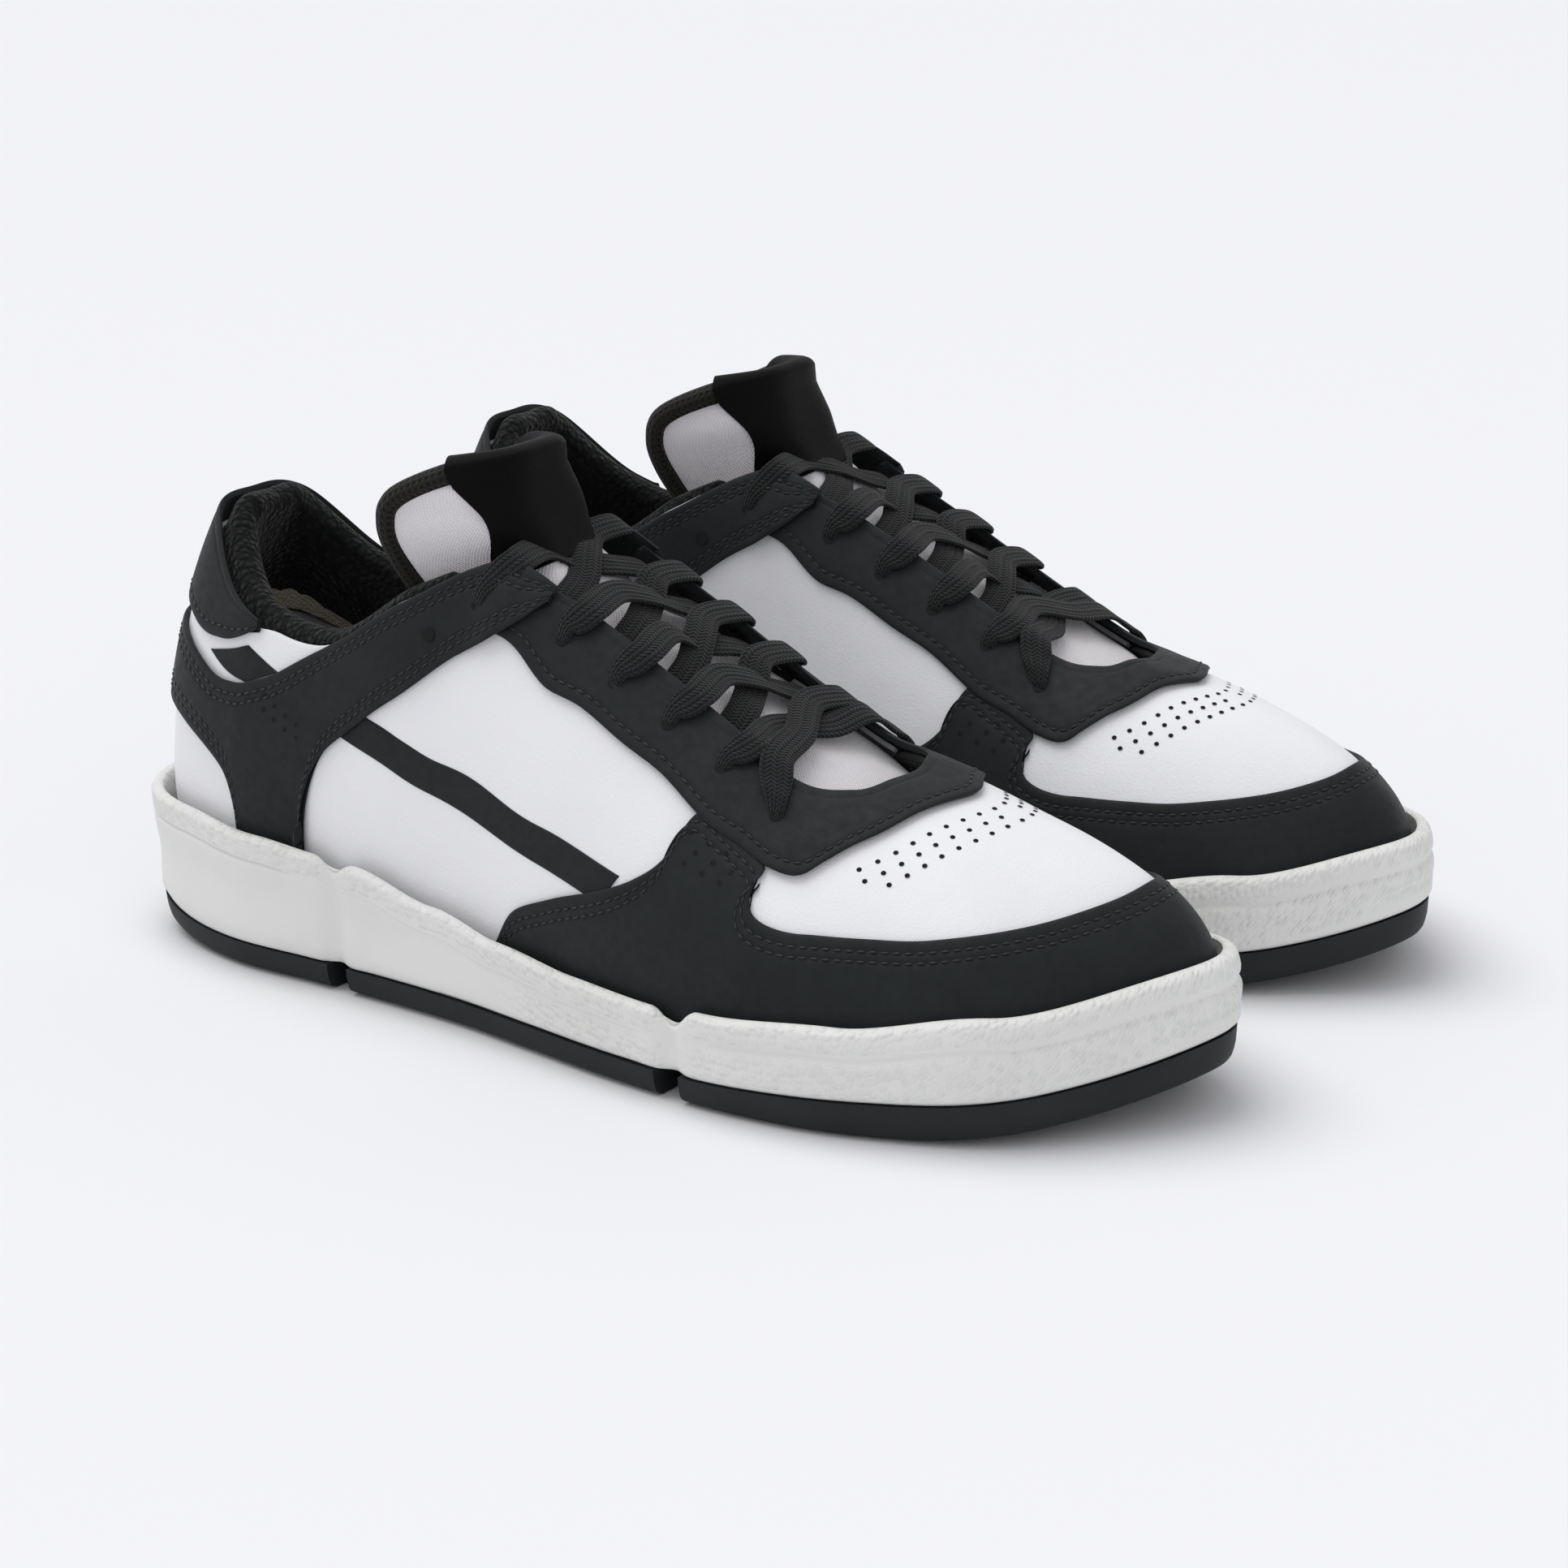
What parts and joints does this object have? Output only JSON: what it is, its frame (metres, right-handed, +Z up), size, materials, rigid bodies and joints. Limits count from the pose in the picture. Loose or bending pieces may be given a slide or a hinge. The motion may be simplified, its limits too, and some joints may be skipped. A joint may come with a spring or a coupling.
{
  "type": "pair of low-top court shoes",
  "caption": "Pair of low black and white leather court shoes with flat laces, a padded collar, a springy cloth tongue and a pebbled cup sole.",
  "frame": {"origin": "on the floor, midway between the two shoes and halfway along them", "axes": "+X towards the toes, +Y from the right shoe to the left shoe, +Z up"},
  "size_m": [0.2988, 0.2332, 0.1347],
  "materials": {
    "black_rubber": "matt, fine-grained",
    "white_rubber": "matt, pebbled",
    "foam": "open foam",
    "board": "fibreboard",
    "black_mesh": "looped mesh",
    "white_leather": "smooth, fine grain",
    "black_leather": "matt nubuck",
    "white_cloth": "fine weave",
    "black_satin": "satin",
    "black_lace": "ribbed flat braid"
  },
  "bodies": {
    "right_shoe": {"right_outsole_heel": "black_rubber", "right_outsole_arch": "black_rubber", "right_outsole_forefoot": "black_rubber", "right_cupsole": "white_rubber", "right_midsole_foam": "foam", "right_lasting_board": "board", "right_footbed": "black_mesh", "right_heel_counter": "board", "right_toe_puff": "board", "right_quarter_outer": "white_leather", "right_quarter_inner": "white_leather", "right_vamp": "white_leather", "right_mudguard": "black_leather", "right_eyestay": "black_leather", "right_collar_strap": "black_leather", "right_heel_tab": "black_leather", "right_heel_stripe_outer": "black_leather", "right_heel_stripe_inner": "black_leather", "right_side_stripe_outer": "black_leather", "right_side_stripe_inner": "black_leather", "right_collar_lining": "black_mesh", "right_collar_foam": "foam", "right_textile_lining": "black_mesh", "right_lace": "black_lace"},
    "right_tongue": {"right_tongue_face": "white_cloth", "right_tongue_foam": "foam", "right_tongue_backing": "black_mesh", "right_tongue_binding": "black_mesh", "right_tongue_label": "black_satin"},
    "left_shoe": {"left_outsole_heel": "black_rubber", "left_outsole_arch": "black_rubber", "left_outsole_forefoot": "black_rubber", "left_cupsole": "white_rubber", "left_midsole_foam": "foam", "left_lasting_board": "board", "left_footbed": "black_mesh", "left_heel_counter": "board", "left_toe_puff": "board", "left_quarter_outer": "white_leather", "left_quarter_inner": "white_leather", "left_vamp": "white_leather", "left_mudguard": "black_leather", "left_eyestay": "black_leather", "left_collar_strap": "black_leather", "left_heel_tab": "black_leather", "left_heel_stripe_outer": "black_leather", "left_heel_stripe_inner": "black_leather", "left_side_stripe_outer": "black_leather", "left_side_stripe_inner": "black_leather", "left_collar_lining": "black_mesh", "left_collar_foam": "foam", "left_textile_lining": "black_mesh", "left_lace": "black_lace"},
    "left_tongue": {"left_tongue_face": "white_cloth", "left_tongue_foam": "foam", "left_tongue_backing": "black_mesh", "left_tongue_binding": "black_mesh", "left_tongue_label": "black_satin"}
  },
  "joints": [
    {"name": "right_tongue_flex", "type": "hinge", "parent": "right_shoe", "child": "right_tongue", "pos_m": [0.07248, -0.05942, 0.056], "axis": [-0.0209, -0.9998, 0], "range_deg": [0, 3], "stiffness_Nm_per_rad": 1.5},
    {"name": "left_tongue_flex", "type": "hinge", "parent": "left_shoe", "child": "left_tongue", "pos_m": [0.07248, 0.05942, 0.056], "axis": [0.0209, -0.9998, 0], "range_deg": [0, 3], "stiffness_Nm_per_rad": 1.5},
    {"name": "left_shoe_lift", "type": "slide", "parent": "right_shoe", "child": "left_shoe", "axis": [0, 0, 1], "range_m": [0, 0.1]}
  ]
}
